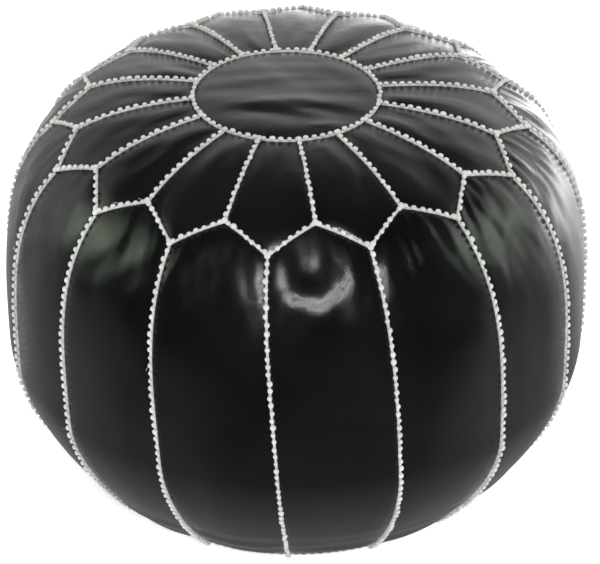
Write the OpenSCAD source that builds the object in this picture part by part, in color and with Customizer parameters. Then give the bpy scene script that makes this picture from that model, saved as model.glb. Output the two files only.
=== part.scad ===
// Round Moroccan leather pouf: a stuffed footstool sewn from sixteen petals and sixteen side
// panels, with raised stitched seams and a zip across the base.
// Z is up. The origin is at the middle of the base, on the floor.

/* [Body] */
// Widest diameter of the leather
body_d = 510; // [420:1:620]
// Height of the leather, from the floor to the top
body_h = 369; // [300:1:450]
// Height of the widest place above the floor
widest_z = 132; // [105:1:160]
// Diameter of the round that rests on the floor
foot_d = 352; // [290:1:410]
// Squareness of the upper curve, where 2 is an ellipse
crown_power = 3.49; // [2.9:0.01:4.3]
// Squareness of the lower curve where it turns under to the foot
foot_power = 1.12; // [1.05:0.01:1.4]
// Squareness of the lower curve where it joins the widest place
flank_power = 1.6; // [1.3:0.01:2]

/* [Panels] */
// Number of petals, and of side panels
panel_count = 16; // [12:1:20]
// Direction of the first petal seam, turned from +X
first_seam_angle = 7.5; // [0:0.5:22]
// Diameter of the round piece in the middle of the top
disc_d = 154; // [125:1:185]
// Diameter of the ring where neighbouring petals part
notch_d = 358; // [310:1:370]
// Diameter of the ring that the petals' tips reach
tip_d = 405; // [380:1:410]
// Thickness of the leather
leather_t = 1.4; // [1:0.1:2]
// Gap between the cut edges of two pieces of leather, which the thread fills
seam_gap = 0.6; // [0.3:0.1:1]

/* [Stitching] */
// Width of a raised seam
seam_w = 3.2; // [2.4:0.1:4]
// Height of a raised seam above the leather
seam_h = 5.6; // [4:0.1:7]
// Thickness of the base seam, which the pouf's weight presses flat
base_seam_t = 1.4; // [1:0.1:1.6]

/* [Filling] */
// Thickness of the calico bag inside the leather
liner_t = 0.6; // [0.4:0.1:1]
// Room between the leather, the bag and the filling
filling_gap = 0.4; // [0.3:0.1:0.8]

/* [Zip] */
// Distance from the edge of the foot to each end of the teeth
zip_margin = 56; // [55:0.5:65]
// Width of one tape
tape_w = 15; // [12:0.5:17]
// Thickness of the tape
tape_t = 0.6; // [0.4:0.1:0.8]
// Length of tape past each end of the teeth
tape_end = 8; // [6:0.5:10]
// Thickness of the teeth
tooth_t = 2.6; // [2:0.1:3.2]
// Width of one row of teeth, with the cord that it is moulded on
row_w = 2.2; // [1.8:0.1:2.7]
// Distance between two teeth of a row
tooth_pitch = 3; // [2.5:0.1:4]
// Thickness of the slider's post, which parts the rows
post_w = 0.8; // [0.6:0.1:1]
// Length of the slider
slider_l = 12; // [10:0.5:15]
// Thickness of each of the slider's plates
plate_t = 1.2; // [1:0.1:1.5]
// Radius of the pin that the pull hangs on
pin_r = 0.72; // [0.6:0.01:0.8]
// Length of the pull from its pin
pull_l = 30; // [24:0.5:33]
// Width of the pull
pull_w = 5; // [4.5:0.1:5.5]
// Thickness of the pull
pull_t = 1.5; // [1.2:0.1:1.8]

/* [Hidden] */
$fn = 96;
// The outline
body_r = body_d / 2;
foot_r = foot_d / 2;
crown_h = body_h - widest_z;
curve_step = 4;
step_angle = 360 / panel_count;
gap_angle = seam_gap / body_r * 180 / PI;
seat = 0.15;
overcut = 1;
seam_spread = 0.6 * seam_w;
// How far each ridge stops short of the ridge that it meets
petal_seam_end = seam_w + 0.6 * seam_h;
side_seam_top_end = 1.6 * seam_w;
side_seam_foot_end = 1.2 * seam_w;
upper_half_z = widest_z + crown_h / 4;

// The zip, level by level above the floor
running_gap = 0.3;
pin_gap = 0.06;
eye_gap = 0.25;
floor_gap = 0.4;
eye_wall = 0.73;
eye_r = pin_r + eye_wall;
pin_z = floor_gap + pull_t + eye_r;
slider_z = pin_z + eye_r + eye_gap;
tooth_z = slider_z + plate_t + running_gap;
tape_z = tooth_z + (tooth_t - tape_t) / 2;
slider_top_z = tooth_z + tooth_t + running_gap + plate_t;
hollow_h = tape_z - leather_t;
channel_w = post_w + 2 * running_gap;
teeth_w = channel_w + 2 * row_w;
flange_t = 0.8;
slider_w = teeth_w + 2 * (running_gap + flange_t);
slit_w = slider_w + 2;
zip_l = foot_d - 2 * zip_margin;
stop_l = 3;
hollow_reach = zip_l / 2 + tape_end + 1;
hollow_top_r = teeth_w / 2 + tape_w + 0.5;
hollow_slope = 20;
liner_room = 3;
tooth_share = 0.55;
cord_share = 0.6;
tail_inset = 0.4;
pull_neck_l = 5;
pull_hole_wall = 0.5;
slider_x = zip_l / 2 - stop_l - running_gap - slider_l / 2;
pin_offset = 1.5;
pin_x = slider_x + pin_offset;
ear_t = 1;
eye_w = 2.2;
pull_droop = asin((pin_z - pull_t / 2 - floor_gap) / pull_l);

leather = "#26272a";
thread = "#d2d2d0";
calico = "#d8cfbb";
wadding = "#efece4";
tape_black = "#1b1b1c";
brass = "#b08d4a";

function numbered(name, i) = str(name, "_", i < 9 ? "0" : "", i + 1);
function unit(v) = v / norm(v);
function seam_angle(i) = first_seam_angle + i * step_angle;

// The crown is the outline above the widest place, and the foot is the outline below it.
// Each is a superellipse, followed by an angle from 0 at the widest place to 90.
function crown_at(t) = [
    body_r * pow(max(cos(t), 0), 2 / crown_power),
    widest_z + crown_h * pow(max(sin(t), 0), 2 / crown_power)
];
function crown_out(t) = unit([
    pow(max(cos(t), 0), 2 - 2 / crown_power) / body_r,
    pow(max(sin(t), 0), 2 - 2 / crown_power) / crown_h
]);
function crown_angle(r) = acos(pow(r / body_r, crown_power / 2));
function foot_at(t) = [
    foot_r + (body_r - foot_r) * pow(max(cos(t), 0), 2 / foot_power),
    widest_z - widest_z * pow(max(sin(t), 0), 2 / flank_power)
];
function foot_out(t) = unit([
    foot_power * pow(max(cos(t), 0), 2 - 2 / foot_power) / (body_r - foot_r),
    -flank_power * pow(max(sin(t), 0), 2 - 2 / flank_power) / widest_z
]);
function foot_angle(r) = acos(pow((r - foot_r) / (body_r - foot_r), foot_power / 2));

// Angles from a to b, which keep to one grid so that neighbouring pieces share their facets
function steps(a, b) = concat([a], [for (t = [0 : curve_step : 90]) if (t > a + 0.5 && t < b - 0.5) t], [b]);
function crown_line(a, b, out) = [for (t = steps(a, b)) crown_at(t) + out * crown_out(t)];
function foot_line(a, b, out) = [for (t = steps(a, b)) foot_at(t) + out * foot_out(t)];
function backwards(line) = [for (i = [len(line) - 1 : -1 : 0]) line[i]];

// The outline from the lowest angle on the foot up to an angle on the crown
function side_line(foot_t, crown_t, out) = concat(
    backwards(foot_line(0, foot_t, out)),
    [for (t = steps(0, crown_t)) if (t > 0) crown_at(t) + out * crown_out(t)]
);

// Where the flat underside of an inner solid meets its flank, below the grid angle t
function inner_corner(t, depth) =
    let (out = foot_out(t), p = foot_at(t) - depth * out)
        [p[0] + (p[1] - depth) * out[1] / out[0], depth];

// A round solid whose skin is a chosen depth inside the leather's outer face
module rounded_body(depth) {
    flank = [for (t = [90 - curve_step / 2 : -curve_step / 2 : 45])
        if (foot_at(t)[1] - depth * foot_out(t)[1] > depth + seat) t];
    rotate_extrude()
        polygon(concat(
            [[0, depth], inner_corner(flank[0], depth)],
            side_line(flank[0], 90, -depth)
        ));
}

// The star that the notches and tips make in plan, grown or shrunk a little
module star(grow) {
    polygon([
        for (i = [0 : panel_count - 1], half = [0, 1])
            let (a = seam_angle(i + half / 2), r = (half == 0 ? notch_d : tip_d) / 2 + grow)
                r * [cos(a), sin(a)]
    ]);
}

module star_prism(grow) {
    translate([0, 0, upper_half_z])
        linear_extrude(body_h)
            star(grow);
}

// The round piece in the middle of the top
module top_disc() {
    color(leather)
        rotate_extrude() {
            rim = crown_angle((disc_d - seam_gap) / 2);
            polygon(concat(
                crown_line(rim, 90, 0),
                backwards(crown_line(rim, 90, -leather_t))
            ));
        }
}

// One petal, between two petal seams, with its tip over a side seam
module petal(i) {
    inner = crown_angle((disc_d + seam_gap) / 2);
    outer = crown_angle(tip_d / 2);
    color(leather)
        intersection() {
            rotate([0, 0, seam_angle(i) + gap_angle / 2])
                rotate_extrude(angle = step_angle - gap_angle)
                    polygon(concat(
                        crown_line(outer, inner, 0),
                        backwards(crown_line(outer, inner, -leather_t))
                    ));
            star_prism(-seam_gap / 2);
        }
}

// One side panel, from the base seam up to the notch between two petals
module side_panel(i) {
    foot_t = foot_angle(foot_r + seam_w / 2);
    crown_t = crown_angle(notch_d / 2);
    color(leather)
        difference() {
            rotate([0, 0, seam_angle(i - 0.5) + gap_angle / 2])
                rotate_extrude(angle = step_angle - gap_angle)
                    polygon(concat(
                        side_line(foot_t, crown_t, 0),
                        backwards(side_line(foot_t, crown_t, -leather_t))
                    ));
            star_prism(seam_gap / 2);
        }
}

// The long hollow that the leather leaves for the zip, above the floor
module zip_hollow(top_z, spread) {
    low_r = hollow_top_r + hollow_slope + spread;
    top_r = hollow_top_r + spread;
    rotate([90, 0, 90])
        linear_extrude(2 * hollow_reach, center = true)
            polygon([[-low_r, 0], [low_r, 0], [top_r, top_z], [-top_r, top_z]]);
    for (side = [-1, 1])
        translate([side * hollow_reach, 0, 0])
            cylinder(h = top_z, r1 = low_r, r2 = top_r);
}

// The leather under the pouf, before it is cut in two
module base_leather() {
    cylinder(h = leather_t, r = foot_r - seam_w / 2);
    translate([0, 0, leather_t])
        zip_hollow(hollow_h, 0);
}

// One half of the base, on the side of +Y or -Y, with its edge along the zip
module base_half(side) {
    color(leather)
        difference() {
            base_leather();
            zip_hollow(hollow_h, 0);
            translate([-body_r, side > 0 ? -body_d : -seam_gap / 2, -overcut])
                cube([body_d, body_d + (side > 0 ? seam_gap / 2 : 0), body_h]);
            cube([zip_l + 2, slit_w, body_h], center = true);
        }
}

// The raised seam around the top disc
module disc_seam_cord() {
    r = disc_d / 2;
    color(thread)
        rotate_extrude()
            polygon(concat(
                crown_line(crown_angle(r + seam_w / 2), crown_angle(r - seam_w / 2), seat),
                backwards(crown_line(crown_angle(r + seam_w / 2), crown_angle(r - seam_w / 2), seam_h))
            ));
}

// A raised seam that stands in one upright plane through the middle
module upright_seam(inner_line, outer_line) {
    rotate([90, 0, 0])
        linear_extrude(seam_w, center = true)
            polygon(concat(inner_line, backwards(outer_line)));
}

// The raised seams between the petals
module petal_seam_cords() {
    low = crown_angle(notch_d / 2 - petal_seam_end);
    high = crown_angle(disc_d / 2 + seam_w);
    color(thread)
        for (i = [0 : panel_count - 1])
            rotate([0, 0, seam_angle(i)])
                upright_seam(crown_line(low, high, seat), crown_line(low, high, seam_h));
}

// The raised seam that follows all the petals' edges
module petal_edge_seam_cord() {
    low = crown_angle(tip_d / 2 + 2 * seam_w);
    high = crown_angle(notch_d / 2 - 2 * seam_w);
    color(thread)
        intersection() {
            rotate_extrude()
                polygon(concat(
                    crown_line(low, high, seat),
                    backwards(crown_line(low, high, seam_h))
                ));
            difference() {
                star_prism(seam_spread);
                star_prism(-seam_spread);
            }
        }
}

// The raised seams between the side panels, which the floor presses flat at their lower ends
module side_seam_cords() {
    low = foot_angle(foot_r + side_seam_foot_end);
    high = crown_angle(tip_d / 2 + side_seam_top_end);
    ridge = [for (p = side_line(low, high, seam_h)) [p[0], max(p[1], floor_gap)]];
    color(thread)
        for (i = [0 : panel_count - 1])
            rotate([0, 0, seam_angle(i + 0.5)])
                upright_seam(side_line(low, high, seat), ridge);
}

// The seam around the base, between the base and the lower edges of the side panels
module base_seam_cord() {
    color(thread)
        rotate_extrude()
            translate([foot_r - seam_w / 2 + seat, seat])
                square([seam_w - seat - base_seam_t / 2, base_seam_t]);
}

// One tape of the zip, sewn inside the edge of the leather
module zip_tape(side) {
    color(tape_black)
        translate([-zip_l / 2 - tape_end, side > 0 ? teeth_w / 2 : -teeth_w / 2 - tape_w, tape_z])
            cube([zip_l + 2 * tape_end, tape_w, tape_t]);
}

// One row of teeth, which leaves a narrow channel for the slider's post
module zip_teeth(side) {
    cord_w = row_w * cord_share;
    start = -zip_l / 2 + stop_l;
    run = zip_l - 2 * stop_l;
    count = floor(run / tooth_pitch);
    shift = side > 0 ? 0 : tooth_pitch / 2;
    color(brass)
        translate([0, 0, tooth_z])
            linear_extrude(tooth_t)
                scale([1, side])
                    union() {
                        translate([start, teeth_w / 2 - cord_w])
                            square([run, cord_w]);
                        for (i = [0 : count - 2])
                            translate([start + tooth_pitch / 2 + shift + i * tooth_pitch, channel_w / 2])
                                square([tooth_pitch * tooth_share, row_w]);
                    }
}

// The two stops at the closed end of the zip
module zip_top_stops() {
    color(brass)
        for (side = [-1, 1])
            translate([zip_l / 2 - stop_l + running_gap / 2, side * (channel_w + teeth_w) / 4, tooth_z + tooth_t / 2])
                translate([stop_l / 2, 0, 0])
                    cube([stop_l, row_w, tooth_t], center = true);
}

// The stop that joins both rows at the open end of the zip
module zip_bottom_stop() {
    color(brass)
        translate([-zip_l / 2 + stop_l / 2 - running_gap / 2, 0, tooth_z + tooth_t / 2])
            cube([stop_l, teeth_w, tooth_t], center = true);
}

// One plate of the slider, with its two flanges turned towards the tape
module slider_plate() {
    shoulder = slider_w / 2;
    tail = slider_w / 2 - tail_inset;
    flange_h = plate_t + (tooth_t - tape_t) / 2;
    linear_extrude(plate_t)
        polygon([
            [slider_l / 2, -shoulder + 1],
            [slider_l / 2, shoulder - 1],
            [slider_l / 2 - 2, shoulder],
            [-slider_l / 2, tail],
            [-slider_l / 2, -tail],
            [slider_l / 2 - 2, -shoulder]
        ]);
    for (side = [-1, 1])
        translate([-slider_l / 2, side * (slider_w / 2 - tail_inset - flange_t / 2) - flange_t / 4, 0])
            cube([slider_l - 3, flange_t / 2, flange_h]);
}

// The slider: two plates around the teeth, the post between them, and the ears for the pull
module zip_slider() {
    color(brass)
        translate([slider_x, 0, 0]) {
            translate([0, 0, slider_z])
                slider_plate();
            translate([0, 0, slider_top_z])
                mirror([0, 0, 1])
                    slider_plate();
            translate([slider_l / 2 - 3, -post_w / 2, slider_z + plate_t / 2])
                cube([2.5, post_w, slider_top_z - slider_z - plate_t]);
        }
    color(brass)
        translate([pin_x, 0, pin_z]) {
            for (side = [-1, 1])
                translate([0, side * (eye_w / 2 + running_gap + ear_t / 2), 0])
                    rotate([90, 0, 0]) {
                        cylinder(h = ear_t, r = eye_r, center = true);
                        translate([-eye_r, 0, -ear_t / 2])
                            cube([2 * eye_r, slider_z - pin_z + plate_t / 2, ear_t]);
                    }
            rotate([90, 0, 0])
                cylinder(h = eye_w + 2 * running_gap + ear_t, r = pin_r, center = true, $fn = 32);
        }
}

// The pull, hanging on the slider's pin and lying back along the teeth
module zip_pull() {
    color(brass)
        translate([pin_x, 0, pin_z])
            rotate([0, -pull_droop, 0])
                difference() {
                    union() {
                        rotate([90, 0, 0])
                            cylinder(h = eye_w, r = eye_r, center = true, $fn = 32);
                        translate([-pull_neck_l, -eye_w / 2, -pull_t / 2])
                            cube([pull_neck_l, eye_w, pull_t]);
                        translate([-pull_l + pull_w / 2, -pull_w / 2, -pull_t / 2])
                            cube([pull_l - pull_w / 2 - pull_neck_l + 1, pull_w, pull_t]);
                        translate([-pull_l + pull_w / 2, 0, -pull_t / 2])
                            cylinder(h = pull_t, r = pull_w / 2, $fn = 48);
                    }
                    rotate([90, 0, 0])
                        cylinder(h = eye_w + overcut, r = pin_r + pin_gap, center = true, $fn = 32);
                    translate([-pull_l + pull_w / 2 + pull_hole_wall, 0, -pull_t])
                        cylinder(h = 2 * pull_t, r = pull_w / 4, $fn = 32);
                }
}

// The calico bag that holds the filling, raised over the zip's slider
module liner_bag() {
    depth = leather_t + filling_gap;
    color(calico)
        difference() {
            rounded_body(depth);
            liner_hollow(0);
            difference() {
                rounded_body(depth + liner_t);
                liner_hollow(liner_t);
            }
        }
}

module liner_hollow(rise) {
    translate([0, 0, -overcut])
        linear_extrude(overcut + rise + 0.01)
            square([2 * hollow_reach, 2 * (hollow_top_r + hollow_slope + liner_room + rise)], center = true);
    translate([0, 0, rise])
        zip_hollow(slider_top_z + 2 * running_gap, liner_room + rise);
}

// The filling: wadding packed hard enough to sit on
module stuffing() {
    depth = leather_t + filling_gap + liner_t + filling_gap;
    color(wadding)
        difference() {
            rounded_body(depth);
            liner_hollow(liner_t + filling_gap);
        }
}

top_disc();
for (i = [0 : panel_count - 1]) {
    petal(i);
    side_panel(i);
}
base_half(-1);  // base_front
base_half(1);  // base_back
disc_seam_cord();
petal_seam_cords();
petal_edge_seam_cord();
side_seam_cords();
base_seam_cord();
zip_tape(-1);  // zip_tape_front
zip_tape(1);  // zip_tape_back
zip_teeth(-1);  // zip_teeth_front
zip_teeth(1);  // zip_teeth_back
zip_top_stops();
zip_bottom_stop();
zip_slider();
zip_pull();
liner_bag();
stuffing();
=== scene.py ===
import math
import bpy
import numpy as np
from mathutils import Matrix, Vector


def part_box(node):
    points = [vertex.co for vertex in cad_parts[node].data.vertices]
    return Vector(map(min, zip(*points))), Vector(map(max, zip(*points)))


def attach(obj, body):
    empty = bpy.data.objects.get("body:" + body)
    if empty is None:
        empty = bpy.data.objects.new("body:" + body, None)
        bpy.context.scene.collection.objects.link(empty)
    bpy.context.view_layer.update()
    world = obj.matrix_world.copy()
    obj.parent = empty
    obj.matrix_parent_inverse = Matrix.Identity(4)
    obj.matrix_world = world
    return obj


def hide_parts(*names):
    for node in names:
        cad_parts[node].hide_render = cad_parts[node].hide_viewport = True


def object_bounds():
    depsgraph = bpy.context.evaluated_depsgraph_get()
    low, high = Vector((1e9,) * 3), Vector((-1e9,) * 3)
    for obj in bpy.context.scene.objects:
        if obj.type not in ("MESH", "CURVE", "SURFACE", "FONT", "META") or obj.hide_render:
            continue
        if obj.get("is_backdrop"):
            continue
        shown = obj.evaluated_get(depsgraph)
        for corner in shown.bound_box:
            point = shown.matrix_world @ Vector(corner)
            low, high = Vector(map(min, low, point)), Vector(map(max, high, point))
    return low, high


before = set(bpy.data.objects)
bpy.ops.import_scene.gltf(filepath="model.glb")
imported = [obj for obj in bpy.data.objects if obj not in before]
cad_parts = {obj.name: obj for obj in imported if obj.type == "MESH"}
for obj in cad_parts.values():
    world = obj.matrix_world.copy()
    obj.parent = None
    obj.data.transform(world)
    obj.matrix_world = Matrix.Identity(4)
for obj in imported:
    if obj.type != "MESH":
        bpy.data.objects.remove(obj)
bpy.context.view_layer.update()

# ---------------------------------------------------------------------------
# The camera: a long lens from the front, well above the pouf, so that the whole top shows
# and the sides run down to the floor.
scene = bpy.context.scene
scene.view_settings.view_transform = "Standard"
camera_height = math.radians(33.65)
camera_distance = 2.451
look_at = Vector((0, 0, 0.153))
bpy.ops.object.camera_add()
camera = bpy.context.object
camera.name = "camera"
camera_way = Vector((0, -math.cos(camera_height), math.sin(camera_height)))
camera.location = look_at + camera_distance * camera_way
camera.rotation_euler = (math.pi / 2 - camera_height, 0, 0)
camera.data.lens = 165.8
camera.data.sensor_width = 36
camera.data.shift_x = 0.0068
camera.data.shift_y = 0.0232
scene.camera = camera

# ---------------------------------------------------------------------------
# The leather cover's form: an upright outline turned round the middle, which the petals,
# the side panels, the seams, the bag and the filling all follow. The crown is flat and
# square-shouldered, and the flank tucks under to a smaller round on the floor.
leather_nodes = [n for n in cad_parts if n.startswith(("petal_0", "petal_1", "side_panel"))]
body_radius = max(
    math.hypot(v.co.x, v.co.y) for n in leather_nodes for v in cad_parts[n].data.vertices
)
body_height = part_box("top_disc")[1].z
disc_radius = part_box("top_disc")[1].x + 0.0003
foot_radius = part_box("base_back")[1].x + 0.0016
# The zigzag seam's radii, at the notches and at the petals' tips
notch_radius = 0.1744
tip_radius = 0.1987
# The outline's fullness over the shoulder, at the foot and down the flank
widest_height = 0.132
crown_power, foot_power, flank_power = 3.49, 1.12, 1.6
first_seam = math.radians(7.5)
panel_turn = math.radians(22.5)


def outline_points():
    """(radius, height) every half millimetre from the middle of the top to the floor."""
    turn = np.linspace(0, math.pi / 2, 4001)
    c, s = np.cos(turn).clip(0), np.sin(turn)
    crown = np.stack([
        body_radius * c ** (2 / crown_power),
        widest_height + (body_height - widest_height) * s ** (2 / crown_power),
    ], 1)[::-1]
    flank = np.stack([
        foot_radius + (body_radius - foot_radius) * c ** (2 / foot_power),
        widest_height * (1 - s ** (2 / flank_power)),
    ], 1)
    line = np.concatenate([crown, flank[1:]])
    run = np.concatenate([[0], np.cumsum(np.hypot(*np.diff(line, axis=0).T))])
    even = np.arange(0, run[-1], 0.0005)
    line = np.stack([np.interp(even, run, line[:, k]) for k in (0, 1)], 1)
    soft = np.ones(17) / 17
    wide = np.concatenate([line[8:0:-1] * [-1, 1], line, np.repeat(line[-1:], 8, 0)])
    return np.stack([np.convolve(wide[:, k], soft, "valid") for k in (0, 1)], 1)


outline = outline_points()
outline_run = np.concatenate([[0], np.cumsum(np.hypot(*np.diff(outline, axis=0).T))])
along = np.gradient(outline, axis=0)
along /= np.linalg.norm(along, axis=1)[:, None]
outline_out = np.stack([-along[:, 1], along[:, 0]], 1)
crown_part = slice(0, int(np.argmax(outline[:, 0])))


def run_at(radius):
    """Distance over the leather from the middle of the top to this radius on the crown."""
    return np.interp(radius, outline[crown_part, 0], outline_run[crown_part])


def soft_step(x):
    """Nought below 0, one above 1, and an even curve between."""
    x = np.clip(x, 0, 1)
    return x * x * (3 - 2 * x)


run_disc, run_notch, run_tip = run_at(disc_radius), run_at(notch_radius), run_at(tip_radius)
run_end = outline_run[-1]
# The star of petals is cut and sewn by hand: it sits a little off the middle, its petals are
# not all of one width or length, and the side seams lean as they go down.
star_shift = (-0.0080, -0.0150)
uneven_width = (0.0506, -0.0235, 0.0061)
uneven_length = 0.0245
lean = math.radians(1.8)


def on_skin(run, turn, lift=0.0):
    """The place on the leather at a run from the middle of the top, in a direction."""
    run, turn, lift = np.broadcast_arrays(*(np.asarray(v, float) for v in (run, turn, lift)))
    fall = soft_step((run - run_tip) / (run_end - run_tip))
    cut = turn + (1 - fall) * (
        uneven_width[0] * np.cos(turn) + uneven_width[1] * np.sin(2 * turn)
        + uneven_width[2] * np.cos(2 * turn)
    )
    run = run * (1 + (1 - fall) * uneven_length * np.cos(2 * turn))
    x = run * np.cos(cut) + star_shift[0] * (1 - fall)
    y = run * np.sin(cut) + star_shift[1] * (1 - fall)
    run, turn = np.hypot(x, y), np.arctan2(y, x) + lean * fall
    r, z, nr, nz = (
        np.interp(run, outline_run, v)
        for v in (outline[:, 0], outline[:, 1], outline_out[:, 0], outline_out[:, 1])
    )
    r = r + lift * nr
    return np.stack([r * np.cos(turn), r * np.sin(turn), np.maximum(z + lift * nz, 0)], -1)


def zigzag_run(turn):
    """Where the petals' edges lie in each direction: straight in plan from notch to tip."""
    part = (turn - first_seam) % panel_turn
    part = np.minimum(part, panel_turn - part)
    half = panel_turn / 2
    radius = notch_radius * tip_radius * math.sin(half) / (
        notch_radius * np.sin(part) + tip_radius * np.sin(half - part)
    )
    return run_at(radius)


# ---------------------------------------------------------------------------
# The stuffed cover: the leather is drawn tight over hard wadding and held down at every
# seam, so each piece swells between its seams. Cloth under pressure, pinned at the seams,
# gives the swelling that the leather pieces below are cut from.
# How far the seams lie below the outline, and how far a piece may swell from there
seam_sink = 0.0022
swell_limit = 0.0052
columns = 20
petal_rows = 22
side_rows = 72
round_columns = 16 * columns
turns = first_seam + np.arange(round_columns) * (panel_turn / columns)
edge = zigzag_run(turns)
runs = np.concatenate([
    run_disc + (edge - run_disc) * (np.arange(petal_rows) / petal_rows)[:, None],
    edge + (run_end - edge) * (np.arange(side_rows + 1) / side_rows)[:, None],
])
row_count = petal_rows + side_rows + 1
# A point this near to a seam is on it.
seam_reach = 1e-5


def disc_pattern(count):
    """Run and direction of a square grid of points eased into a round."""
    u, v = np.meshgrid(np.linspace(-1, 1, count + 1), np.linspace(-1, 1, count + 1))
    x, y = u * np.sqrt(1 - v * v / 2), v * np.sqrt(1 - u * u / 2)
    return run_disc * np.hypot(x, y), np.arctan2(y, x)


disc_count = 32
disc_runs, disc_turns = disc_pattern(disc_count)
ring_start = on_skin(runs, turns[None, :], -seam_sink)
disc_start = on_skin(disc_runs, disc_turns, -seam_sink)


def seam_distance():
    """Distance from each point of the ring grid to its nearest seam, in metres."""
    part = (turns - first_seam) % panel_turn
    to_notch = np.minimum(part, panel_turn - part)
    to_tip = panel_turn / 2 - to_notch
    radius = np.hypot(ring_start[..., 0], ring_start[..., 1])
    across = np.where(
        np.arange(row_count)[:, None] < petal_rows, radius * to_notch, radius * to_tip
    )
    to_edge = np.abs(runs - edge)
    to_disc = runs - run_disc
    to_end = run_end - runs
    return np.minimum.reduce([across, to_edge, to_disc, to_end])


ring_free = seam_distance()


def ironed(moved, fixed, closed):
    """The movement with its sharpest buckles evened out, as thick leather does."""
    for _ in range(8):
        if closed:
            beside = np.roll(moved, 1, 1) + np.roll(moved, -1, 1)
        else:
            wider = np.pad(moved, ((0, 0), (1, 1), (0, 0)), "edge")
            beside = wider[:, :-2] + wider[:, 2:]
        taller = np.pad(moved, ((1, 1), (0, 0), (0, 0)), "edge")
        above_below = taller[:-2] + taller[2:]
        moved = np.where(fixed[..., None], moved, 0.4 * moved + 0.15 * (beside + above_below))
    return moved


def swollen():
    """How far each point of the ring and of the disc moves as the cover is stuffed."""
    ring_index = np.arange(row_count * round_columns).reshape(row_count, round_columns)
    faces = [
        (ring_index[k + 1, j], ring_index[k + 1, (j + 1) % round_columns],
         ring_index[k, (j + 1) % round_columns], ring_index[k, j])
        for k in range(row_count - 1) for j in range(round_columns)
    ]
    size = disc_count + 1
    disc_index = ring_index.size + np.arange(size * size).reshape(size, size)
    faces += [
        (disc_index[k, j], disc_index[k, j + 1], disc_index[k + 1, j + 1], disc_index[k + 1, j])
        for k in range(disc_count) for j in range(disc_count)
    ]
    start = np.concatenate([ring_start.reshape(-1, 3), disc_start.reshape(-1, 3)])
    mesh = bpy.data.meshes.new("cover")
    mesh.from_pydata(start.tolist(), [], [[int(i) for i in f] for f in faces])
    cover = bpy.data.objects.new("cover", mesh)
    scene.collection.objects.link(cover)
    held = np.concatenate([
        (ring_free < seam_reach).ravel(), (disc_runs > run_disc - seam_reach).ravel()
    ])
    seams = cover.vertex_groups.new(name="seams")
    seams.add(np.flatnonzero(held).tolist(), 1.0, "REPLACE")
    # Spare leather is eased into the zigzag seam, and most of it on the right.
    gather = np.exp(-((runs - edge).clip(0) / 0.05)) * (runs >= edge)
    gather *= 0.45 + 0.55 * soft_step(np.cos(turns - math.radians(10)) * 0.8 + 0.3)
    eased = cover.vertex_groups.new(name="eased")
    for i, w in enumerate(gather.ravel()):
        if w > 0.02:
            eased.add([i], float(w), "REPLACE")
    cloth = cover.modifiers.new("Cloth", "CLOTH")
    leather = cloth.settings
    leather.vertex_group_mass = "seams"
    leather.vertex_group_shrink = "eased"
    leather.shrink_min = -0.006
    leather.shrink_max = -0.018
    leather.use_pressure = True
    leather.uniform_pressure_force = 4
    leather.effector_weights.gravity = 0
    leather.quality = 6
    leather.mass = 0.3
    leather.tension_stiffness = 40
    leather.compression_stiffness = 40
    leather.shear_stiffness = 20
    leather.bending_stiffness = 2
    leather.air_damping = 4
    cloth.point_cache.frame_start = 1
    cloth.point_cache.frame_end = 20
    for step in range(cloth.point_cache.frame_start, cloth.point_cache.frame_end + 1):
        scene.frame_set(step)
    grown = cover.evaluated_get(bpy.context.evaluated_depsgraph_get()).data
    place = np.empty(len(grown.vertices) * 3, np.float32)
    grown.vertices.foreach_get("co", place)
    moved = place.reshape(-1, 3).astype(float) - start
    scene.frame_set(1)
    bpy.data.objects.remove(cover)
    far = np.linalg.norm(moved, axis=1)
    keep = swell_limit * np.tanh(far / swell_limit) / np.maximum(far, 1e-9)
    moved *= keep[:, None]
    ring_moved = moved[:ring_index.size].reshape(row_count, round_columns, 3)
    disc_moved = moved[ring_index.size:].reshape(size, size, 3)
    return (
        ironed(ring_moved, ring_free < seam_reach, True),
        ironed(disc_moved, disc_runs > run_disc - seam_reach, False),
    )


ring_swell, disc_swell = swollen()


# ---------------------------------------------------------------------------
# Creases: leather that is gathered into a seam stands in short folds that die away from it,
# and the whole cover has slack, slow undulations where the wadding is uneven.
crease_source = np.random.default_rng(31)


def folds(across, depth, spacing, count):
    """A seeded sum of waves along a line, about one high, with crests this far apart."""
    value = np.zeros(np.broadcast(across, depth).shape)
    for _ in range(count):
        wave = 2 * math.pi / (spacing * crease_source.uniform(0.7, 1.6))
        wander = crease_source.uniform(-0.35, 0.35)
        start = crease_source.uniform(0, 2 * math.pi)
        value = value + np.sin(wave * (across + wander * depth) + start)
    value /= math.sqrt(count / 2)
    return np.tanh(value)


def outward(run, turn):
    """The direction straight out of the leather."""
    step = on_skin(run, turn, 0.002) - on_skin(run, turn, -0.002)
    return step / np.maximum(np.linalg.norm(step, axis=-1, keepdims=True), 1e-9)


girth_radius = 0.235
girth = girth_radius * turns[None, :]
below_edge = (runs - edge).clip(0)
on_side = np.arange(row_count)[:, None] >= petal_rows
to_right = soft_step(0.55 + 0.6 * np.cos(turns - math.radians(15)))[None, :]
settled = 1 - np.exp(-ring_free / 0.006)
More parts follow.
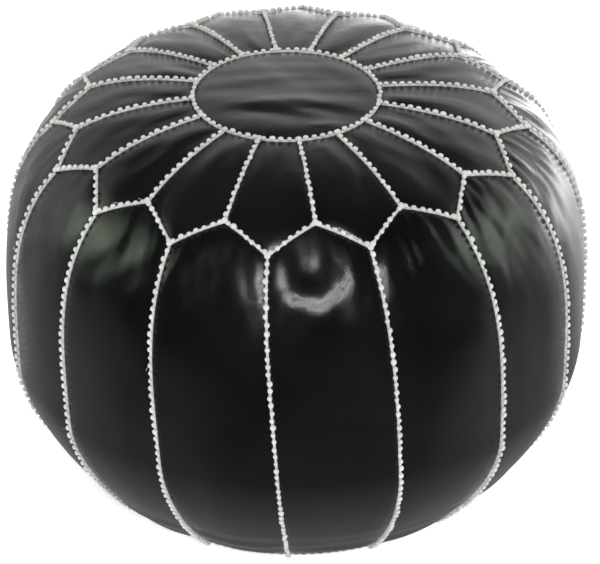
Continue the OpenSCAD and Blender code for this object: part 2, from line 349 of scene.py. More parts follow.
# Nothing is creased to lower than this over the floor.
floor_gap = 0.0002
gathers = folds(girth, runs, 0.017, 8) * np.exp(-below_edge / 0.045)
gathers *= (0.00035 + 0.0010 * to_right) * on_side
crumples = folds(girth * 0.7 + runs * 0.7, girth - runs, 0.036, 7)
crumples += folds(girth * 0.8 - runs * 0.5, girth + runs, 0.045, 7)
crumples *= 0.00050 * on_side * np.exp(-((below_edge - 0.055) / 0.045) ** 2)
slow = folds(girth * 0.5 + 0.1, runs * 0.4, 0.06, 7) * 0.0007
petal_waves = folds(girth * 0.6, runs * 1.4, 0.035, 7) * 0.00035 * ~on_side
low_folds = folds(runs * 0.9, girth * 0.25, 0.030, 6) * 0.0011
low_folds *= soft_step((runs - run_end + 0.10) / 0.07)
ring_crease = (gathers + crumples + slow + petal_waves + low_folds) * settled
# Hollows pressed into the front, each open at its top and with a low rim elsewhere: run
# and direction of the middle, size and depth
hollows = (
    (0.217, -84.5, 0.029, 0.0047),
    (0.262, -104.0, 0.032, 0.0018),
    (0.270, -60.0, 0.032, 0.0018),
)
for dent_run, dent_turn, dent_size, dent_depth in hollows:
    way = turns[None, :] - math.radians(dent_turn % 360)
    way = (way + math.pi) % (2 * math.pi) - math.pi
    down = np.where(runs < dent_run, 0.5, 1.0) * (runs - dent_run)
    near = (down ** 2 + (girth_radius * way) ** 2) / dent_size ** 2
    ring_crease = ring_crease - dent_depth * (1 - 1.6 * near) * np.exp(-near) * settled
disc_x, disc_y = disc_start[..., 0], disc_start[..., 1]
disc_crease = folds(disc_y, disc_x * 0.35, 0.020, 5) * 0.00022
disc_crease += folds(disc_x * 0.4, disc_y, 0.040, 5) * 0.0007
# Three folds pressed into the disc, from left to right: middle, half length, slant, height
disc_folds = (
    (-0.010, -0.030, 0.030, -0.22, 0.0018),
    (0.022, -0.024, 0.034, -0.12, 0.0013),
    (0.004, 0.020, 0.030, 0.10, 0.0005),
)
for fold_x, fold_y, half_length, slant, high in disc_folds:
    reach_x, reach_y = disc_x - fold_x - star_shift[0], disc_y - fold_y - star_shift[1]
    reach_y = reach_y - slant * reach_x + 2.0 * reach_x ** 2
    fades = np.exp(-(reach_x / half_length) ** 2)
    disc_crease += high * fades * np.tanh(reach_y / 0.0035) * np.exp(-(reach_y / 0.014) ** 2)
disc_crease *= 1 - np.exp(-(run_disc - disc_runs) / 0.008)
ring_skin = ring_start + ring_swell + ring_crease[..., None] * outward(runs, turns[None, :])
disc_skin = disc_start + disc_swell + disc_crease[..., None] * outward(disc_runs, disc_turns)
ring_skin[..., 2] = ring_skin[..., 2].clip(floor_gap)


# ---------------------------------------------------------------------------
# Goatskin, dyed black and glazed: rubbed to a hard shine, with a fine pebbled grain, small
# creases between the pebbles and rubbed, greyer patches. The shine breaks up over the grain.
def linear(hex_colour):
    """A colour written as sRGB hex, as the shader's linear red, green, blue and one."""
    parts = [int(hex_colour[i:i + 2], 16) / 255 for i in (1, 3, 5)]
    return [p / 12.92 if p <= 0.04045 else ((p + 0.055) / 1.055) ** 2.4 for p in parts] + [1]


def add_node(tree, kind, links=None, **settings):
    """Adds a shader node, sets its properties and input values, and links its inputs."""
    node = tree.nodes.new(kind)
    for key, value in settings.items():
        if hasattr(node, key):
            setattr(node, key, value)
        else:
            node.inputs[key.replace("_", " ")].default_value = value
    for key, source in (links or {}).items():
        tree.links.new(source, node.inputs[key])
    return node


def new_material(name):
    """A new material, its shader nodes and its main shader."""
    material = bpy.data.materials.new(name)
    material.use_nodes = True
    tree = material.node_tree
    shader = tree.nodes["Principled BSDF"]
    return material, tree, shader


def colour_steps(node, steps):
    """Sets the places and colours of a colour ramp."""
    ramp = node.color_ramp
    while len(ramp.elements) < len(steps):
        ramp.elements.new(0.5)
    for element, (place, colour) in zip(ramp.elements, steps):
        element.position = place
        element.color = linear(colour)


def glazed_goatskin(name, dark, rubbed, streak_turn, streak_strength):
    """Black glazed goatskin from one colour to a rubbed one, creased along a direction."""
    material, tree, shader = new_material(name)
    place = add_node(tree, "ShaderNodeTexCoord").outputs["Object"]
    # Pebbles of goatskin are about 1 mm across.
    pebbles = add_node(tree, "ShaderNodeTexVoronoi", {"Vector": place}, feature="F1", Scale=950.0)
    small = add_node(tree, "ShaderNodeTexNoise", {"Vector": place}, Scale=900.0, Detail=3.0)
    # Creases about 7 mm apart, drawn out along one direction
    turned = add_node(
        tree, "ShaderNodeMapping", {"Vector": place},
        Rotation=(0, 0, streak_turn), Scale=(0.6, 1.3, 1.0),
    )
    ridges = add_node(
        tree, "ShaderNodeTexNoise", {"Vector": turned.outputs[0]},
        noise_type="RIDGED_MULTIFRACTAL", Scale=38.0, Detail=3.0, Distortion=0.6,
    )
    patches = add_node(tree, "ShaderNodeTexNoise", {"Vector": place}, Scale=14.0, Detail=5.0)
    patch = patches.outputs["Fac"]
    where = add_node(tree, "ShaderNodeMapRange", {"Value": patch}, From_Min=0.48, From_Max=0.66)
    creases = add_node(
        tree, "ShaderNodeMath", {0: ridges.outputs["Fac"], 1: where.outputs[0]},
        operation="MULTIPLY",
    )
    shade = add_node(tree, "ShaderNodeValToRGB", {"Fac": patch})
    colour_steps(shade, [(0.35, dark), (0.75, rubbed)])
    tree.links.new(shade.outputs["Color"], shader.inputs["Base Color"])
    rough = add_node(
        tree, "ShaderNodeMapRange", {"Value": patch},
        From_Min=0.3, From_Max=0.7, To_Min=0.13, To_Max=0.26,
    )
    tree.links.new(rough.outputs[0], shader.inputs["Roughness"])
    grain = add_node(
        tree, "ShaderNodeBump", {"Height": pebbles.outputs["Distance"]},
        Strength=0.30, Distance=0.0005,
    )
    fine = add_node(
        tree, "ShaderNodeBump", {"Height": small.outputs["Fac"], "Normal": grain.outputs[0]},
        Strength=0.12, Distance=0.0003,
    )
    crease = add_node(
        tree, "ShaderNodeBump", {"Height": creases.outputs[0], "Normal": fine.outputs[0]},
        Strength=streak_strength, Distance=0.0016,
    )
    tree.links.new(crease.outputs[0], shader.inputs["Normal"])
    shader.inputs["IOR"].default_value = 1.5
    shader.inputs["Specular IOR Level"].default_value = 0.55
    return material


leather_thickness = 0.0014


def leather_piece(name, points, material):
    """One cut piece of leather from rows of points, its lowest row first, with its thickness."""
    rows, cols = points.shape[:2]
    bpy.ops.object.select_all(action="DESELECT")
    bpy.ops.mesh.primitive_grid_add(x_subdivisions=cols - 1, y_subdivisions=rows - 1, size=1)
    piece = bpy.context.object
    piece.name = name
    piece.data.name = name
    piece.data.vertices.foreach_set("co", points.astype(np.float32).ravel())
    piece.data.update()
    body = piece.modifiers.new("thickness", "SOLIDIFY")
    body.thickness = leather_thickness
    body.offset = -1
    smooth = piece.modifiers.new("smooth", "SUBSURF")
    smooth.levels = smooth.render_levels = 1
    for modifier in list(piece.modifiers):
        bpy.ops.object.modifier_apply(modifier=modifier.name)
    bpy.ops.object.shade_smooth()
    piece.data.materials.append(material)
    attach(piece, "pouf")
    return piece


# ---------------------------------------------------------------------------
# The top disc: one round of leather in the middle of the crown, with creases that run from
# left to right where it was pulled flat before it was sewn in.
disc_leather = glazed_goatskin("glazed goatskin, top disc", "#0E0E0F", "#1A1A1A", 0.0, 0.5)
top_disc = leather_piece("top_disc_leather", disc_skin, disc_leather)
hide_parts("top_disc")

# ---------------------------------------------------------------------------
# The sixteen petals: each one is a long wedge from the disc to a point between two notches.
petal_leather = glazed_goatskin("glazed goatskin, petals", "#0B0B0C", "#141415", 0.6, 0.35)
for i in range(16):
    across = np.arange(i * columns, (i + 1) * columns + 1) % round_columns
    wedge = ring_skin[:petal_rows + 1][:, across][::-1]
    petal = leather_piece(f"petal_{i + 1:02d}_leather", wedge, petal_leather)
    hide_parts(f"petal_{i + 1:02d}")

# ---------------------------------------------------------------------------
# The sixteen side panels: each hangs from a notch, is widest at the girth and narrows to the
# floor, where it is sewn to the base.
side_leather = glazed_goatskin("glazed goatskin, side panels", "#080809", "#101012", 1.57, 0.45)
for i in range(16):
    first = i * columns - columns // 2
    across = np.arange(first, first + columns + 1) % round_columns
    strip = ring_skin[petal_rows:][:, across][::-1]
    panel = leather_piece(f"side_panel_{i + 1:02d}_leather", strip, side_leather)
    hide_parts(f"side_panel_{i + 1:02d}")

# ---------------------------------------------------------------------------
# The base: two half rounds of the same leather, flat on the floor and raised into a long hollow
# over the zip.
hollow_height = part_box("zip_tape_front")[0].z - leather_thickness
hollow_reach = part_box("zip_tape_front")[1].x + 0.001
hollow_half_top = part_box("zip_tape_back")[1].y + 0.0005
hollow_slope = 0.020
zip_half = -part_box("zip_bottom_stop")[0].x
slit_half = 0.005
slit_end = 0.004
seam_half_gap = 0.0003
base_reach = foot_radius - 0.0018
base_leather = glazed_goatskin("glazed goatskin, base", "#0F0F10", "#1B1B1C", 0.9, 0.3)


def hollow_over(x, y, half_top, top):
    """Height of the base leather over a place: zero on the floor, raised over the zip."""
    away = np.hypot((np.abs(x) - hollow_reach).clip(0), y)
    return top * soft_step((half_top + hollow_slope - away) / hollow_slope)


for side, word in ((-1, "front"), (1, "back")):
    x = np.sin(np.linspace(-1, 1, 97) * math.pi / 2)[None, :] * base_reach
    part = (np.linspace(0, 1, 33) ** 1.3)[:, None]
    opened = soft_step((zip_half + slit_end - np.abs(x)) / slit_end)
    inner = seam_half_gap + (slit_half - seam_half_gap) * opened
    outer = np.maximum(np.sqrt(np.maximum(base_reach ** 2 - x ** 2, 0)), inner + seam_half_gap)
    y = inner + (outer - inner) * part
    x = x + 0 * part
    z = hollow_over(x, y, hollow_half_top, hollow_height)
    pucker = folds(x, y * 0.5, 0.012, 6) * 0.0003 * np.exp(-(y - inner) / 0.02)
    z = (z + pucker * (z > hollow_height * 0.5)).clip(0)
    grid = np.stack([x, y * side, z], -1)
    half = leather_piece(f"base_{word}_leather", grid if side < 0 else grid[::-1], base_leather)
    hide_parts(f"base_{word}")

# ---------------------------------------------------------------------------
# Raised seams: a cord of white cotton is whipped over the edges of the leather, and every
# 7 mm a knot stands on it like a bead. One stitch is modelled and copied along each seam.
stitch_pitch = 0.0070
band_half_width = 0.00105
band_low, band_top = -0.0012, 0.0013
bead_half_length, bead_half_width, bead_half_height = 0.0024, 0.0021, 0.0018
bead_centre = 0.0021


def stitch_unit():
    """Points and faces of one stitch: a length of band, and the bead on it."""
    bpy.ops.object.select_all(action="DESELECT")
    bpy.ops.mesh.primitive_cube_add(size=1, location=(0, 0, 0))
    band = bpy.context.object
    for v in band.data.vertices:
        high = band_low + (v.co.z + 0.5) * (band_top - band_low)
        v.co = (v.co.x * stitch_pitch * 1.04, v.co.y * 2 * band_half_width, high)
    bpy.ops.object.mode_set(mode="EDIT")
    bpy.ops.mesh.select_all(action="DESELECT")
    bpy.ops.mesh.select_mode(type="EDGE")
    bpy.ops.object.mode_set(mode="OBJECT")
    for e in band.data.edges:
        a, b = (band.data.vertices[i].co for i in e.vertices)
        e.select = abs(a.x - b.x) > 1e-5 and a.z > 0.001 and b.z > 0.001
    bpy.ops.object.mode_set(mode="EDIT")
    bpy.ops.mesh.bevel(offset=0.0009, segments=2, affect="EDGES")
    bpy.ops.mesh.select_mode(type="FACE")
    bpy.ops.mesh.select_all(action="DESELECT")
    bpy.ops.object.mode_set(mode="OBJECT")
    for f in band.data.polygons:
        f.select = abs(f.normal.x) > 0.9 or f.normal.z < -0.9
    bpy.ops.object.mode_set(mode="EDIT")
    bpy.ops.mesh.delete(type="FACE")
    bpy.ops.object.mode_set(mode="OBJECT")
    bpy.ops.mesh.primitive_ico_sphere_add(subdivisions=2, radius=1)
    bead = bpy.context.object
    for v in bead.data.vertices:
        high = bead_centre + v.co.z * bead_half_height
        v.co = (v.co.x * bead_half_length, v.co.y * bead_half_width, high)
    shapes = []
    for o in (band, bead):
        points = np.array([v.co for v in o.data.vertices])
        faces = [tuple(f.vertices) for f in o.data.polygons]
        shapes.append((points, faces))
        bpy.data.objects.remove(o)
    return shapes


band, bead = stitch_unit()
stitch_source = np.random.default_rng(7)
# The share of stitches with a loose end, and the thread's radius there
loose_ends = 0.05
thread_radius = 0.00022


def seam_frames(run, turn):
    """Places, and the directions along, across and out of the leather, down a seam."""
    place = on_skin(run, turn, -seam_sink)
    out = outward(run, turn)
    ahead = np.gradient(place, axis=0)
    ahead -= (ahead * out).sum(1)[:, None] * out
    ahead /= np.linalg.norm(ahead, axis=1)[:, None]
    return place, ahead, np.cross(out, ahead), out


def even_route(run, turn):
    """A route of whole stitches: run and direction at each quarter stitch, and their pitch."""
    place = on_skin(run, turn)
    length = np.concatenate([[0], np.cumsum(np.linalg.norm(np.diff(place, axis=0), axis=1))])
    count = max(1, round(length[-1] / stitch_pitch))
    quarters = np.linspace(0, length[-1], 4 * count + 1)
    return (
        np.interp(quarters, length, run), np.interp(quarters, length, turn),
        length[-1] / count,
    )


def copies(shape, spots, stretch, grow, slide, start, flat):
    """A copy of a shape on each spot: its points, faces, and places along the thread."""
    points, faces = shape
    for k, (place, ahead, across, out) in enumerate(zip(*spots)):
        local = points * [stretch * grow[k], grow[k], flat]
        rise = local[:, 2] * (1 if flat < 1 else grow[k] ** 0.5)
        placed = (
            place + np.outer(local[:, 0] + slide[k, 0], ahead)
            + np.outer(local[:, 1] + slide[k, 1], across) + np.outer(rise, out)
        )
        yield placed, faces, points + [start + k * stitch_pitch, 0, 0]


def loose_end(place, ahead, across, out):
    """An end of thread that stands away from a bead and bends over, as a three-sided tube."""
    lay = stitch_source.uniform(-1, 1, 2)
    reach = stitch_source.uniform(0.003, 0.007)
    bend = np.linspace(0, 1, 5)[:, None]
    spine = (
        place + out * (bead_centre + 0.0015 + 0.0012 * np.sin(bend * 2.5))
        + reach * bend * (lay[0] * ahead + lay[1] * across) + 0.25 * reach * bend ** 2 * ahead
    )
    ring = np.array([[0, 1], [0.87, -0.5], [-0.87, -0.5]]) * thread_radius
    tube = spine[:, None] + ring[None, :, :1] * across + ring[None, :, 1:] * out
    tube = tube.reshape(-1, 3)
    tube[:, 2] = tube[:, 2].clip(0.0003)
    faces = [
        (3 * j + c, 3 * j + (c + 1) % 3, 3 * j + (c + 1) % 3 + 3, 3 * j + c + 3)
        for j in range(4) for c in range(3)
    ]
    faces += [(2, 1, 0), (12, 13, 14)]
    return tube, faces, np.repeat(np.linspace(0, reach, 5), 3)[:, None] * [1, 0, 0]


def sew(name, node, routes, flat=1.0, knots=()):
    """One mesh of stitches along each route of (run, direction), in place of a CAD seam."""
    shapes = []
    for run, turn in routes:
        quarter_run, quarter_turn, pitch = even_route(run, turn)
        spots = [v[2::4] for v in seam_frames(quarter_run, quarter_turn)]
        count = len(spots[0])
        still = np.zeros((count, 2))
        shapes += copies(band, spots, pitch / stitch_pitch, np.ones(count), still, 0.0, flat)
        grow = stitch_source.normal(1, 0.09, count).clip(0.75, 1.2)
        slide = stitch_source.normal(0, 0.00032, (count, 2))
        shapes += copies(bead, spots, 1.0, grow, slide, 0.3, flat)
        for k in np.flatnonzero(stitch_source.random(count) < loose_ends):
            shapes.append(loose_end(*(v[k] for v in spots)))
    for run, turn, size in knots:
        near = np.array([run - 0.002, run, run + 0.002])
        spots = [v[1:2] for v in seam_frames(near, np.full(3, turn))]
        shapes += copies(bead, spots, 1.0, np.full(1, size), np.zeros((1, 2)), 0.1, flat)
    points = np.concatenate([shape[0] for shape in shapes])
    threads = np.concatenate([shape[2] for shape in shapes]).astype(np.float32)
    first = np.cumsum([0] + [len(shape[0]) for shape in shapes]).tolist()
    faces = [tuple(i + n for i in face) for n, shape in zip(first, shapes) for face in shape[1]]
    mesh = bpy.data.meshes.new(name)
    mesh.from_pydata(points.tolist(), [], faces)
    along_thread = mesh.attributes.new("thread", "FLOAT_VECTOR", "POINT")
    along_thread.data.foreach_set("vector", threads.ravel())
    seam = bpy.data.objects.new(name, mesh)
    scene.collection.objects.link(seam)
    bpy.ops.object.select_all(action="DESELECT")
    bpy.context.view_layer.objects.active = seam
    seam.select_set(True)
    bpy.ops.object.shade_smooth_by_angle(angle=math.radians(50))
    seam.data.materials.append(whipped_cotton)
    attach(seam, "pouf")
    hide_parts(node)


def cotton_material():
    """Undyed white cotton thread, wound close: matt, ribbed across the seam, a little dirty."""
    material, tree, shader = new_material("white cotton thread, whipped")
    place = add_node(tree, "ShaderNodeTexCoord").outputs["Object"]
    thread = add_node(tree, "ShaderNodeAttribute", attribute_name="thread")
    # One winding is about 0.8 mm of thread.
    winding = add_node(
        tree, "ShaderNodeTexWave", {"Vector": thread.outputs["Vector"]},
        wave_type="BANDS", bands_direction="X", Scale=200.0, Distortion=1.5, Detail=1.0,
    )
    fuzz = add_node(tree, "ShaderNodeTexNoise", {"Vector": place}, Scale=1500.0, Detail=2.0)
    soil = add_node(tree, "ShaderNodeTexNoise", {"Vector": place}, Scale=60.0, Detail=4.0)
    tint = add_node(tree, "ShaderNodeValToRGB", {"Fac": soil.outputs["Fac"]})
    colour_steps(tint, [(0.3, "#ACABA7"), (0.7, "#C4C4C1")])
    tree.links.new(tint.outputs["Color"], shader.inputs["Base Color"])
    ribs = add_node(
        tree, "ShaderNodeBump", {"Height": winding.outputs["Fac"]},
        Strength=0.35, Distance=0.0004,
    )
    hairs = add_node(
        tree, "ShaderNodeBump", {"Height": fuzz.outputs["Fac"], "Normal": ribs.outputs[0]},
        Strength=0.25, Distance=0.0003,
    )
    tree.links.new(hairs.outputs[0], shader.inputs["Normal"])
    shader.inputs["Roughness"].default_value = 0.75
    shader.inputs["Sheen Weight"].default_value = 0.15
    shader.inputs["Sheen Roughness"].default_value = 0.5
    return material


whipped_cotton = cotton_material()
fine_turn = np.linspace(0, 2 * math.pi, 721)
notches = first_seam + np.arange(16) * panel_turn
tips = notches + panel_turn / 2
sew("disc_seam_stitches", "disc_seam_cord", [(np.full(721, run_disc), fine_turn)])
down_petal = np.linspace(run_disc + 0.003, run_notch - 0.002, 200)
sew(
    "petal_seam_stitches", "petal_seam_cords",
    [(down_petal, np.full(200, a)) for a in notches],
    knots=[(run_disc + 0.001, a, 1.15) for a in notches],
)
zigzag = []
for a in notches:
    for sign in (1, -1):
        steps = a + sign * np.linspace(0, panel_turn / 2, 60)
        zigzag.append((zigzag_run(steps), steps))
sew(
    "petal_edge_stitches", "petal_edge_seam_cord", zigzag,
    knots=[(run_notch, a, 1.3) for a in notches] + [(run_tip, a, 1.3) for a in tips],
)
down_side = np.linspace(run_tip + 0.003, run_end - 0.004, 400)
sew("side_seam_stitches", "side_seam_cords", [(down_side, np.full(400, a)) for a in tips])
round_foot = [(np.full(721, run_end - 0.0005), fine_turn)]
sew("base_seam_stitches", "base_seam_cord", round_foot, flat=0.3)


# ---------------------------------------------------------------------------
# The inner bag and the filling: a calico bag packed hard with cotton wadding. Both follow
# the cover's form from inside and are raised over the zip's slider.
def inner_body(name, node, depth, lumps, spacing, shell, material):
    """A closed round body inside the cover, from a ball eased onto the outline."""
    bpy.ops.object.select_all(action="DESELECT")
    bpy.ops.mesh.primitive_uv_sphere_add(segments=96, ring_count=64, radius=1)
    body = bpy.context.object
    body.name = name
    ball = np.array([v.co for v in body.data.vertices])
    inside = outline - depth * outline_out
    inside = inside[inside[:, 1] > depth]
    foot = np.stack([np.linspace(inside[-1, 0], 0, 200), np.full(200, depth)], 1)
    line = np.concatenate([inside, foot])
    run = np.concatenate([[0], np.cumsum(np.hypot(*np.diff(line, axis=0).T))])
    part = np.arccos(ball[:, 2].clip(-1, 1)) / math.pi * run[-1]
    turn = np.arctan2(ball[:, 1], ball[:, 0])
    r, z = np.interp(part, run, line[:, 0]), np.interp(part, run, line[:, 1])
    lump = folds(turn * 0.2 * r / body_radius, part, spacing, 8) * lumps
    r = (r - np.abs(lump) * soft_step(r / 0.05)).clip(0)
    z = z - np.abs(lump) * (z > 0.3)
    x, y = r * np.cos(turn), r * np.sin(turn)
    # The lower part is lifted over the zip and its slider.
    raised = hollow_over(x, y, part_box("zip_tape_back")[1].y + 0.0045, slider_top + depth)
    z = np.where(part > run[-1] * 0.62, np.maximum(z, raised), z)
    places = np.stack([x, y, z], 1).astype(np.float32)
    body.data.vertices.foreach_set("co", places.ravel())
    body.data.update()
    if shell:
        wall = body.modifiers.new("wall", "SOLIDIFY")
        wall.thickness = shell
        wall.offset = -1
    smooth = body.modifiers.new("smooth", "SUBSURF")
    smooth.levels = smooth.render_levels = 1
    for modifier in list(body.modifiers):
        bpy.ops.object.modifier_apply(modifier=modifier.name)
    bpy.ops.object.shade_smooth()
    body.data.materials.append(material)
    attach(body, "pouf")
    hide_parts(node)


def woven_material(name, low, high, threads, strength, rough):
    """Plain-woven cotton: two sets of threads at right angles, matt, with slubs."""
    material, tree, shader = new_material(name)
    place = add_node(tree, "ShaderNodeTexCoord").outputs["Object"]
    warp, weft = (
        add_node(
            tree, "ShaderNodeTexWave", {"Vector": place},
            bands_direction=axis, Scale=threads, Distortion=0.6,
        )
        for axis in ("X", "Y")
    )
    both = add_node(
        tree, "ShaderNodeMath", {0: warp.outputs["Fac"], 1: weft.outputs["Fac"]},
        operation="ADD",
    )
    slubs = add_node(tree, "ShaderNodeTexNoise", {"Vector": place}, Scale=90.0, Detail=4.0)
    tint = add_node(tree, "ShaderNodeValToRGB", {"Fac": slubs.outputs["Fac"]})
    colour_steps(tint, [(0.3, low), (0.7, high)])
    tree.links.new(tint.outputs["Color"], shader.inputs["Base Color"])
    bump = add_node(
        tree, "ShaderNodeBump", {"Height": both.outputs[0]}, Strength=strength, Distance=0.0003
    )
    tree.links.new(bump.outputs[0], shader.inputs["Normal"])
    shader.inputs["Roughness"].default_value = rough
    return material


slider_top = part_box("zip_slider")[1].z
calico = woven_material("unbleached calico, plain weave", "#CFC4AC", "#E0D7C4", 320.0, 0.4, 0.85)
packed_cotton = woven_material("cotton wadding, packed", "#E2DDD0", "#F1EEE7", 120.0, 0.15, 0.95)
inner_body(
    "liner_bag_calico", "liner_bag", depth=0.0060, lumps=0.0004, spacing=0.03, shell=0.0006,
    material=calico,
)
inner_body(
    "stuffing_wadding", "stuffing", depth=0.0070, lumps=0.0006, spacing=0.02, shell=0,
    material=packed_cotton,
)

# ---------------------------------------------------------------------------
# The zip: cotton tapes sewn inside the slit, and rows of brass teeth with a brass slider,
# stops and pull. Their shapes are the CAD nodes; only their finish is made here.
tape_weave = woven_material("black cotton tape, plain weave", "#121213", "#222224", 420.0, 0.5, 0.8)


def brass_material():
    """Plated brass, pressed and tumbled: warm metal, darker and duller in patches, small scratches.
    """
    material, tree, shader = new_material("antique brass, tumbled")
    place = add_node(tree, "ShaderNodeTexCoord").outputs["Object"]
    tarnish = add_node(tree, "ShaderNodeTexNoise", {"Vector": place}, Scale=260.0, Detail=5.0)
    tint = add_node(tree, "ShaderNodeValToRGB", {"Fac": tarnish.outputs["Fac"]})
    colour_steps(tint, [(0.3, "#7A5C2B"), (0.65, "#C3A05A")])
    tree.links.new(tint.outputs["Color"], shader.inputs["Base Color"])
    dull = add_node(
        tree, "ShaderNodeMapRange", {"Value": tarnish.outputs["Fac"]}, To_Min=0.5, To_Max=0.22
    )
    tree.links.new(dull.outputs[0], shader.inputs["Roughness"])
    scratched = add_node(tree, "ShaderNodeMapping", {"Vector": place}, Scale=(0.2, 2.0, 1.0))
    scratches = add_node(
        tree, "ShaderNodeTexNoise", {"Vector": scratched.outputs[0]}, Scale=1800.0, Detail=2.0
    )
    bump = add_node(
        tree, "ShaderNodeBump", {"Height": scratches.outputs["Fac"]},
        Strength=0.12, Distance=0.0002,
    )
    tree.links.new(bump.outputs[0], shader.inputs["Normal"])
    shader.inputs["Metallic"].default_value = 1.0
    return material


tumbled_brass = brass_material()
for node_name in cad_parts:
    if node_name.startswith("zip_"):
        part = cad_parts[node_name]
        finish = tape_weave if node_name.startswith("zip_tape") else tumbled_brass
        part.data.materials.clear()
        part.data.materials.append(finish)

# ---------------------------------------------------------------------------
# The studio: a pale floor, a pale surround that is dark behind the camera, a small soft
# light and a wide dim one high in front, and a greenish one at each side. The glaze shows
# them all.
bpy.ops.object.select_all(action="DESELECT")
bpy.ops.mesh.primitive_plane_add(size=1)
floor = bpy.context.object
floor.name = "floor"
# It lies half a millimetre lower than the base, so that the two never coincide.
floor_level = -0.0005
for corner, (x, y) in zip(floor.data.vertices, ((-4, -4), (4, -4), (-4, 8), (4, 8))):
    corner.co = (x, y, floor_level)
floor_material, tree, shader = new_material("pale floor")
shader.inputs["Base Color"].default_value = linear("#F4F4F4")
shader.inputs["Roughness"].default_value = 0.9
shader.inputs["Emission Color"].default_value = (1, 1, 1, 1)
shader.inputs["Emission Strength"].default_value = 0.6
# The pale sheet ends a little way in front, so the glaze reflects it only low down.
ground = add_node(tree, "ShaderNodeTexCoord").outputs["Object"]
ahead = add_node(tree, "ShaderNodeSeparateXYZ", {"Vector": ground})
sheet_near = add_node(
    tree, "ShaderNodeMapRange", {"Value": ahead.outputs["Y"]}, interpolation_type="SMOOTHSTEP",
    From_Min=-0.58, From_Max=-0.21, To_Min=0.01, To_Max=0.32,
)
# Behind the pouf it grows brighter, and more so towards the right.
sheet_far = add_node(
    tree, "ShaderNodeMapRange", {"Value": ahead.outputs["Y"]}, interpolation_type="SMOOTHSTEP",
    From_Min=0.0, From_Max=1.2, To_Min=0.0, To_Max=0.6,
)
sheet_side = add_node(
    tree, "ShaderNodeMapRange", {"Value": ahead.outputs["X"]},
    From_Min=-0.6, From_Max=0.6, To_Min=0.4, To_Max=7.0,
)
sheet_back = add_node(
    tree, "ShaderNodeMath", {0: sheet_far.outputs[0], 1: sheet_side.outputs[0]},
    operation="MULTIPLY",
)
sheet_light = add_node(
    tree, "ShaderNodeMath", {0: sheet_near.outputs[0], 1: sheet_back.outputs[0]},
    operation="ADD",
)
dim_sheet = add_node(
    tree, "ShaderNodeEmission", {"Strength": sheet_light.outputs[0]}, Color=(1, 1, 1, 1)
)
floor_path = add_node(tree, "ShaderNodeLightPath")
floor_mix = add_node(tree, "ShaderNodeMixShader", {"Fac": floor_path.outputs["Is Glossy Ray"]})
tree.links.new(shader.outputs[0], floor_mix.inputs[1])
tree.links.new(dim_sheet.outputs[0], floor_mix.inputs[2])
# Seen from underneath, the floor is clear, so that the base and its zip show.
under = add_node(tree, "ShaderNodeNewGeometry")
clear = add_node(tree, "ShaderNodeBsdfTransparent")
floor_faces = add_node(tree, "ShaderNodeMixShader", {"Fac": under.outputs["Backfacing"]})
tree.links.new(floor_mix.outputs[0], floor_faces.inputs[1])
tree.links.new(clear.outputs[0], floor_faces.inputs[2])
tree.links.new(floor_faces.outputs[0], tree.nodes["Material Output"].inputs["Surface"])
floor.data.materials.append(floor_material)
floor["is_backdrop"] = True

world = bpy.data.worlds.new("surround")
scene.world = world
world.use_nodes = True
tree = world.node_tree
tree.nodes.clear()
direction = add_node(tree, "ShaderNodeTexCoord").outputs["Generated"]
split = add_node(tree, "ShaderNodeSeparateXYZ", {"Vector": direction})
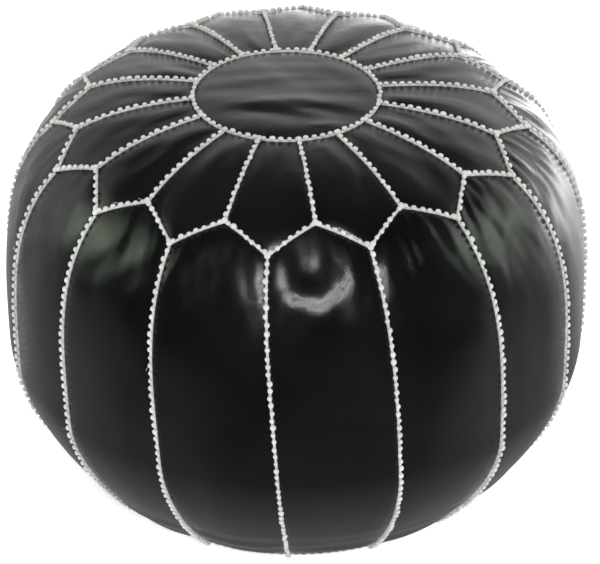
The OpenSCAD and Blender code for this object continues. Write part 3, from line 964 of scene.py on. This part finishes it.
# What the glaze reflects is pale at the back, dark overhead, dimmer at the sides, and
# brighter again far to the right.
behind = add_node(
    tree, "ShaderNodeMapRange", {"Value": split.outputs["Y"]}, interpolation_type="SMOOTHSTEP",
    From_Min=-0.1, From_Max=0.5, To_Min=0.03, To_Max=1.0,
)
above = add_node(
    tree, "ShaderNodeMapRange", {"Value": split.outputs["Z"]}, interpolation_type="SMOOTHSTEP",
    From_Min=0.46, From_Max=0.70, To_Min=1.15, To_Max=0.085,
)
sideways = add_node(tree, "ShaderNodeMath", {0: split.outputs["X"]}, operation="ABSOLUTE")
aside = add_node(
    tree, "ShaderNodeMapRange", {"Value": sideways.outputs[0]}, interpolation_type="SMOOTHSTEP",
    From_Min=0.08, From_Max=0.36, To_Min=1.0, To_Max=0.6,
)
right_glow = add_node(
    tree, "ShaderNodeMapRange", {"Value": split.outputs["X"]}, interpolation_type="SMOOTHSTEP",
    From_Min=0.18, From_Max=0.42, To_Min=1.0, To_Max=2.1,
)
pattern = behind
for share in (right_glow, above, aside):
    pattern = add_node(
        tree, "ShaderNodeMath", {0: pattern.outputs[0], 1: share.outputs[0]},
        operation="MULTIPLY",
    )
path = add_node(tree, "ShaderNodeLightPath")
glossy = add_node(
    tree, "ShaderNodeMix", {"Factor": path.outputs["Is Glossy Ray"], "B": pattern.outputs[0]},
    A=0.85,
)
seen = add_node(
    tree, "ShaderNodeMix", {"Factor": path.outputs["Is Camera Ray"], "A": glossy.outputs[0]},
    B=1.0,
)
sky = add_node(tree, "ShaderNodeBackground", {"Strength": seen.outputs[0]}, Color=(1, 1, 1, 1))
add_node(tree, "ShaderNodeOutputWorld", {"Surface": sky.outputs[0]})


def softbox(name, turn, height, wide, tall, power, colour):
    """A soft light 2.5 m from the pouf, in a direction and at a height given as angles."""
    bpy.ops.object.light_add(type="AREA")
    lamp = bpy.context.object
    lamp.name = name
    aim = Vector((0, 0, 0.2))
    level = math.cos(height)
    way = Vector((math.cos(turn) * level, math.sin(turn) * level, math.sin(height)))
    lamp.location = aim + 2.5 * way
    lamp.rotation_euler = way.to_track_quat("Z", "Y").to_euler()
    lamp.data.shape = "RECTANGLE"
    lamp.data.size = wide
    lamp.data.size_y = tall
    lamp.data.energy = power
    lamp.data.color = linear(colour)[:3]


softbox("key softbox", math.radians(-85), math.radians(36.5), 0.42, 0.26, 30, "#FFFFFF")
softbox("fill softbox", math.radians(-90), math.radians(42), 1.8, 1.8, 5, "#F0F0FF")
softbox("left softbox", math.radians(180), math.radians(23), 0.9, 1.1, 13, "#C8DCC0")
softbox("right softbox", math.radians(0), math.radians(24), 1.1, 1.1, 13, "#C8DCC0")

low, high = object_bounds()
